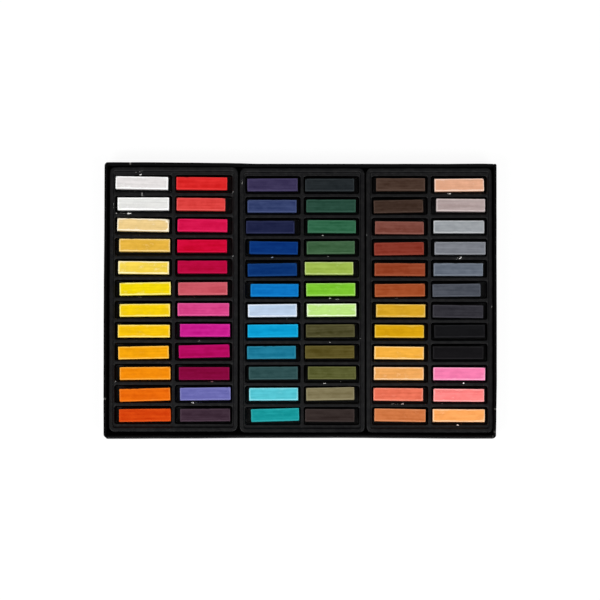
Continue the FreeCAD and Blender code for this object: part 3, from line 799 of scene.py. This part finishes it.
# Loose chalk: crumbs of the same powder, broken off the sticks. The eye gets dull ragged specks;
# the streaks along the left tray's edges are in part a painted highlight.
def broken_chalk():
    material, tree = new_material("broken_chalk")
    shade = add(tree, "ShaderNodeAttribute", {"attribute_name": "pigment"}).outputs["Color"]
    grain = add(
        tree,
        "ShaderNodeTexNoise",
        {"Scale": 1.0, "Detail": 2.0},
        Vector=scaled_place(tree, (1 / STICK_GRAIN,) * 3),
    ).outputs["Fac"]
    body = mix_colour(tree, stretch(tree, grain, 0.4, 0.7, 0.0, 0.3), shade, "#ffffff")
    bump = add(tree, "ShaderNodeBump", {"Strength": 0.4, "Distance": 0.08 * MM}, Height=grain)
    shader = add(
        tree,
        "ShaderNodeBsdfPrincipled",
        {"Roughness": 0.95, "Specular IOR Level": 0.1},
        Base_Color=body,
        Normal=bump.outputs["Normal"],
    )
    add(tree, "ShaderNodeOutputMaterial", Surface=shader.outputs["BSDF"])
    return material


def add_crumb(heap, pigment, place, size, colour, draw):
    """A small broken lump that rests at place."""
    sides = Vector([size / 2 * draw.uniform(least, most) for least, most in CRUMB_SIDES])
    turn = Matrix.Rotation(draw.uniform(0, math.pi), 3, "Z")
    shift = Vector([draw.uniform(0, 50) for _ in range(3)])
    for v in bmesh.ops.create_icosphere(heap, subdivisions=1, radius=1.0)["verts"]:
        rough = 1 + CRUMB_ROUGH[1] * noise.noise(v.co * CRUMB_ROUGH[0] + shift)
        lump = Vector([c * s * rough for c, s in zip(v.co, sides)])
        v.co = place + turn @ lump + Vector((0, 0, CRUMB_LIFT * sides.z))
        v[pigment] = linear(colour)


def make_crumbs(material, trays):
    """The crumbs on each tray, dropped onto its surface."""
    for side, tray in trays.items():
        surface = BVHTree.FromPolygons(
            [v.co for v in tray.data.vertices], [tuple(p.vertices) for p in tray.data.polygons]
        )
        low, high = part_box(f"tray_{side}")
        draw = random.Random(side)
        heap = bmesh.new()
        pigment = heap.verts.layers.float_color.new("pigment")
        for x, y, run, degrees, count, size, colour in CRUMBS:
            if not low.x < x * MM < high.x:
                continue
            way = Vector((math.cos(math.radians(degrees)), math.sin(math.radians(degrees)), 0))
            for _ in range(count):
                spot = Vector((x, y, 0)) + way * draw.uniform(-run / 2, run / 2)
                spot += Vector((draw.gauss(0, SCATTER), draw.gauss(0, SCATTER), 0))
                spot = spot * MM
                spot.z = high.z + MM
                place = surface.ray_cast(spot, Vector((0, 0, -1)))[0]
                if place:
                    grown = size * MM * draw.uniform(*CRUMB_GROWTH)
                    add_crumb(heap, pigment, place, grown, colour, draw)
        name = f"chalk_crumbs_{side}"
        mesh = bpy.data.meshes.new(name)
        heap.to_mesh(mesh)
        heap.free()
        piece = new_piece(name, mesh, material)
        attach(piece, f"tray_{side}")


# Drawer
WALL = 2 * CARD + PLY_GAP
# how far the walls stand in from the outline, picked from its edges in the photograph: millimetres
# from their middle, and inward
COURSE = {
    "back": (
        (-130, 0.0), (-100, 0.0), (-74, 0.25), (-50, 0.5), (-42, 0.62), (-28, 1.05),
        (95, 1.1), (118, 0.95), (130, 1.15),
    ),
    "front": ((-130, 0.0), (-80, 0.15), (-30, 0.6), (30, 0.7), (70, 0.4), (100, 0.1), (130, 0.15)),
    "left": ((-91, 0.25), (-60, 0.1), (0, 0.0), (50, 0.2), (91, 0.2)),
    "right": ((-91, 1.1), (-75, 0.75), (-50, 0.4), (0, 0.25), (60, 0.1), (91, 0.0)),
}
PULLED_IN = {"left": (0.1 * MM, 0.1 * MM), "right": (0.3 * MM, 1.2 * MM)}  # ends of the side walls
CORNER_ROUND = {"left": (2.4 * MM, 2.4 * MM), "right": (1.2 * MM, 0.9 * MM)}  # front, then back
# chips knocked out of the crests: wall, millimetres from its middle, reach, drop, dent and how
# much of the grey core shows
CHIPS = (
    ("back", -111.5, 0.9, 0.6, 0.3, 0.25),
    ("left", -65.0, 1.0, 1.0, 1.2, 0.35),
    ("right", -71.6, 0.8, 0.5, 0.2, 0.22),
    ("front", 125.6, 0.9, 0.6, 0.2, 0.12),
    ("right", -86.5, 1.6, 0.4, 0.1, 0.13),
)
LEAN_AT_FOOT = 0.85           # share of the course at the foot of a wall
SIDE_SECTIONS = 44            # sections along a side wall
LONG_SECTIONS = 64            # and along the back and the front one
NEAR_END = (0.1, 0.3, 0.55, 0.85, 1.2, 2.0)    # mm from a wall's end, where more are put in
NEAR_CHIP = (-1, -0.6, -0.25, 0, 0.3, 0.7, 1)  # and from a chip's middle, for its reach
SECTION_GAP = 0.06 * MM       # the least between two sections
RISE_STEPS = 6                # edges up a wall
CREST_STEPS = 8               # edges over its crest
# the fold at a wall's foot, from the floor out: how far in from the outer face, and how high
FOOT_FOLD = ((CARD, 0.0), (0.5 * MM, 0.0), (0.15 * MM, 0.14 * MM), (0.0, 0.45 * MM))
CORNER_LEAST = 0.15 * MM      # what a worn corner leaves of the wall
CREST_BAND = 1.6 * MM         # height of the band below the crest's top, painted darker as shade and rubbed paler, in part as a painted highlight
CREST_DIP = (6 * MM, 0.15 * MM)            # length and depth of the dips in it
WALL_WAVE = (17 * MM, 9 * MM, 0.08 * MM)   # length, height and depth of the waves in a wall
FLOOR_STEPS = (26, 18)        # the floor's mesh
FLOOR_GAP = 0.02 * MM         # between the floor and the walls' outer plies


def course(wall, t):
    """How far a wall stands in at the place t along it."""
    points = COURSE[wall]
    for (a, one), (b, two) in zip(points, points[1:]):
        if t <= b * MM:
            share = (t / MM - a) / (b - a)
            return (one + (two - one) * (3 - 2 * share) * share * share) * MM
    return points[-1][1] * MM


def wall_places(wall, start, end, count):
    """Where a wall's sections stand: evenly, and denser at its ends and at chips."""
    places = [start + (end - start) * i / count for i in range(count + 1)]
    for d in NEAR_END:
        places += [start + d * MM, end - d * MM]
    for name, place, reach, *_ in CHIPS:
        if name == wall:
            places += [(place + reach * s) * MM for s in NEAR_CHIP]
    kept = []
    for t in sorted(places):
        if start <= t <= end and (not kept or t - kept[-1] > SECTION_GAP):
            kept.append(t)
    kept[-1] = end
    return kept


def wall_section(high):
    """The section of a rolled wall: distance in from the outer face and height, one closed loop."""
    shoulder = high - WALL / 2
    rise = [CARD + (shoulder - CARD) * i / RISE_STEPS for i in range(RISE_STEPS + 1)]
    points = [(0.0, z) for z in rise]
    for step in range(1, CREST_STEPS):
        angle = math.pi * (1 - step / CREST_STEPS)
        points.append((WALL / 2 + WALL / 2 * math.cos(angle), shoulder + WALL / 2 * math.sin(angle)))
    points += [(WALL, z) for z in rise[::-1]]
    points += [(CARD + PLY_GAP, z) for z in (CARD, (CARD + shoulder) / 2, high - CARD)]
    points += [(CARD, z) for z in (high - CARD, (CARD + shoulder) / 2, CARD)]
    return points + list(FOOT_FOLD)


def corner_wear(wall, t, to_end, inward):
    """How much of a side wall's outer corner has worn away, this far in from its face."""
    corner = CORNER_ROUND.get(wall, (0.0, 0.0))[t > 0]
    if to_end >= corner:
        return 0.0
    gone = corner - math.sqrt(corner ** 2 - (corner - to_end) ** 2)
    return max(0.0, min(gone, WALL - CORNER_LEAST) - inward)


def chip_here(wall, t):
    """How much of the grey core a chip bares here, and how far it drops and dents the crest."""
    found = (0.0, 0.0, 0.0)
    for name, middle, reach, drop, dent, core in CHIPS:
        share = 1 - abs(t / MM - middle) / reach
        if name == wall and share > 0:
            found = (core * share, drop * share * MM, dent * share * MM)
    return found


def wall_runs(half_x, half_y):
    """Of each wall: the ways out and along, how far out its face is, its ends and its sections."""
    runs = {}
    for name, way in (("left", -1), ("right", 1)):
        front, back = PULLED_IN[name]
        ends = (front - half_y, half_y - back)
        runs[name] = (Vector((way, 0, 0)), Vector((0, 1, 0)), half_x, *ends, SIDE_SECTIONS)
    for name, way, right_slit in (("back", 1, SLIT), ("front", -1, WORN_SLIT)):
        ends = (-half_x + WALL + SLIT, half_x - WALL - right_slit)
        runs[name] = (Vector((0, way, 0)), Vector((1, 0, 0)), half_y, *ends, LONG_SECTIONS)
    return runs


def add_wall(box, name, run, top):
    """One rolled wall: its section again and again along it, bowed, rubbed and chipped."""
    worn = box.verts.layers.float["worn"]
    raw = box.verts.layers.float["raw"]
    outward, along, face, start, end, count = run
    section = wall_section(top)
    loops = []
    for t in wall_places(name, start, end, count):
        bare, drop, dent = chip_here(name, t)
        uneven = abs(noise.noise(Vector((t / CREST_DIP[0], 4.1, len(name) * 2.3))))
        loop = []
        for inward, z in section:
            bow = course(name, t) * (LEAN_AT_FOOT + (1 - LEAN_AT_FOOT) * z / top)
            bow += corner_wear(name, t, min(t - start, end - t), inward)
            wave = noise.noise(Vector((t / WALL_WAVE[0], z / WALL_WAVE[1], face * 90 + len(name))))
            bow += abs(wave) * WALL_WAVE[2]
            crest = max(0.0, (z - top + CREST_BAND) / CREST_BAND)
            where = outward * (face - inward - bow) + along * t
            if inward < WALL / 2:
                where -= outward * dent * crest
            where.z = max(0.0, z - (uneven * CREST_DIP[1] + drop) * crest)
            made = box.verts.new(where)
            # the crest band, which the card's finish paints darker as shade and paler along its rubs,
            # in part as a painted highlight
            made[worn] = crest
            made[raw] = bare * crest
            loop.append(made)
        loops.append(loop)
    for one, two in zip(loops, loops[1:]):
        skin(box, one, two)
    for cap in (loops[0], loops[-1]):
        box.faces.new(cap)


def add_floor(box, half_x, half_y):
    """The floor: one ply between the walls' outer plies, which follows their course."""
    edge_x, edge_y = half_x - CARD - FLOOR_GAP, half_y - CARD - FLOOR_GAP
    steps_x, steps_y = FLOOR_STEPS
    sheets = []
    for z in (0.0, CARD - FLOOR_GAP):
        grid = []
        for i in range(steps_x + 1):
            for j in range(steps_y + 1):
                across, along = 2 * i / steps_x - 1, 2 * j / steps_y - 1
                wall = "right" if across > 0 else "left"
                x = across * (edge_x - course(wall, along * edge_y) * LEAN_AT_FOOT)
                wall = "back" if along > 0 else "front"
                y = along * (edge_y - course(wall, across * edge_x) * LEAN_AT_FOOT)
                grid.append(box.verts.new((x, y, z)))
        sheets.append(grid)
    wide = steps_y + 1
    for grid in sheets:
        for i in range(steps_x):
            for j in range(steps_y):
                k = i * wide + j
                box.faces.new((grid[k], grid[k + wide], grid[k + wide + 1], grid[k + 1]))
    rim = [i * wide for i in range(steps_x)] + [steps_x * wide + j for j in range(steps_y)]
    rim += [i * wide + steps_y for i in range(steps_x, 0, -1)] + list(range(steps_y, 0, -1))
    skin(box, [sheets[0][k] for k in rim], [sheets[1][k] for k in rim])


def make_drawer(material):
    """The drawer: one sheet of card, four rolled walls round its floor."""
    half_x, half_y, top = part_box("drawer")[1]
    box = bmesh.new()
    box.verts.layers.float.new("worn")
    box.verts.layers.float.new("raw")
    for name, run in wall_runs(half_x, half_y).items():
        add_wall(box, name, run, top)
    add_floor(box, half_x, half_y)
    bmesh.ops.recalc_face_normals(box, faces=box.faces)
    mesh = bpy.data.meshes.new("card_drawer")
    box.to_mesh(mesh)
    box.free()
    smooth(mesh)
    piece = new_piece("card_drawer", mesh, material, "drawer")
    flat = piece.modifiers.new("flat", "WEIGHTED_NORMAL")
    flat.keep_sharp = False
    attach(piece, "drawer")


# Camera, as the photograph was taken: nearly straight down, from far off
PHOTO_PIXELS = 600
PIXEL = 0.6535 * MM           # of the photograph, at the drawer
CAMERA_DISTANCE = 2.5
CAMERA_ELEVATION = math.radians(85.5)
OFF_CENTRE = (0.4, -0.48)     # pixels, the drawer's middle right of and below the photograph's


def make_camera():
    """The camera, aimed so that the drawer lies where it does in the photograph."""
    data = bpy.data.cameras.new("camera")
    camera = bpy.data.objects.new("camera", data)
    bpy.context.scene.collection.objects.link(camera)
    data.lens = data.sensor_width * CAMERA_DISTANCE / (PHOTO_PIXELS * PIXEL)
    back = Vector((0, -math.cos(CAMERA_ELEVATION), math.sin(CAMERA_ELEVATION)))
    aim = Vector((-OFF_CENTRE[0] * PIXEL, OFF_CENTRE[1] * PIXEL, cad_box[1].z))
    camera.location = aim + back * CAMERA_DISTANCE
    camera.rotation_mode = "QUATERNION"
    camera.rotation_quaternion = (-back).to_track_quat("-Z", "Y")
    data.clip_end = 15
    bpy.context.scene.camera = camera


def soft_lamp(name, azimuth, elevation, distance, size, share):
    """A square lamp that gives a level face this share of the plain level."""
    data = bpy.data.lights.new(name, "AREA")
    data.shape = "SQUARE"
    data.size = size
    up = math.radians(elevation)
    data.energy = share * (math.pi * distance) ** 2 / math.sin(up)
    lamp = bpy.data.objects.new(name, data)
    bpy.context.scene.collection.objects.link(lamp)
    turn = math.radians(azimuth)
    towards = Vector((math.sin(turn) * math.cos(up), -math.cos(turn) * math.cos(up), math.sin(up)))
    lamp.location = towards * distance
    lamp.rotation_mode = "QUATERNION"
    lamp.rotation_quaternion = towards.to_track_quat("Z", "Y")


# The studio: a white backdrop low all round, a dim ceiling, and two soft lamps
CEILING = 0.2
BACKDROP = 1.0
BACKDROP_TOP = 0.1            # sine of the elevation at which the backdrop ends
BACKDROP_FADE = 0.02


def make_light():
    """The studio's backdrop and ceiling as a world, and its lamps."""
    world = bpy.data.worlds.new("studio")
    world.use_nodes = True
    tree = world.node_tree
    tree.nodes.clear()
    way = add(tree, "ShaderNodeTexCoord").outputs["Generated"]
    up = add(tree, "ShaderNodeSeparateXYZ", Vector=way).outputs["Z"]
    strength = stretch(tree, up, BACKDROP_TOP - BACKDROP_FADE, BACKDROP_TOP + BACKDROP_FADE,
                       BACKDROP, CEILING)
    light = add(tree, "ShaderNodeBackground", {"Color": linear("#ffffff")}, Strength=strength)
    add(tree, "ShaderNodeOutputWorld", Surface=light.outputs["Background"])
    bpy.context.scene.world = world
    soft_lamp("front_left_lamp", azimuth=-48, elevation=50, distance=1.8, size=1.0, share=0.53)
    soft_lamp("front_right_lamp", azimuth=52, elevation=50, distance=1.8, size=1.0, share=0.45)


# Matt white paper with a glow of its own. The eye gets plain white with a very faint shadow.
PAPER = "#585858"             # what it throws back of the lamps' light
PAPER_GLOW = 0.925            # what it shows of its own
PAPER_REACH = 12.0
PAPER_SIDES = 48
PAPER_DROP = 0.05 * MM        # below the drawer, so that the two don't meet


def make_ground():
    """A wide white sheet of paper, shown white where the object throws no shadow."""
    material, tree = new_material("matt_white_paper")
    path = add(tree, "ShaderNodeLightPath")
    seen = add(
        tree,
        "ShaderNodeMath",
        {"operation": "MAXIMUM"},
        _0=path.outputs["Is Camera Ray"],
        _1=path.outputs["Is Glossy Ray"],
    )
    seen = add(
        tree,
        "ShaderNodeMath",
        {"operation": "MAXIMUM"},
        _0=seen.outputs[0],
        _1=path.outputs["Is Transmission Ray"],
    )
    lift = stretch(tree, seen.outputs[0], 0.0, 1.0, 0.0, PAPER_GLOW)
    paper = add(tree, "ShaderNodeBsdfDiffuse", {"Color": linear(PAPER)})
    glow = add(tree, "ShaderNodeEmission", {"Color": linear("#ffffff")}, Strength=lift)
    both = add(tree, "ShaderNodeAddShader", _0=paper.outputs[0], _1=glow.outputs[0])
    add(tree, "ShaderNodeOutputMaterial", Surface=both.outputs[0])
    mesh = bpy.data.meshes.new("ground")
    turns = [2 * math.pi * i / PAPER_SIDES for i in range(PAPER_SIDES)]
    rim = [(PAPER_REACH * math.cos(turn), PAPER_REACH * math.sin(turn), -PAPER_DROP) for turn in turns]
    mesh.from_pydata(rim, [], [list(range(PAPER_SIDES))])
    mesh.materials.append(material)
    ground = bpy.data.objects.new("ground", mesh)
    bpy.context.scene.collection.objects.link(ground)


make_drawer(black_greyboard_card())
formed_trays = make_trays(vacuum_formed_polystyrene())
make_crumbs(broken_chalk(), formed_trays)
make_sticks()
make_camera()
make_light()
make_ground()
bpy.context.scene.view_settings.view_transform = "Standard"

bpy.context.view_layer.update()
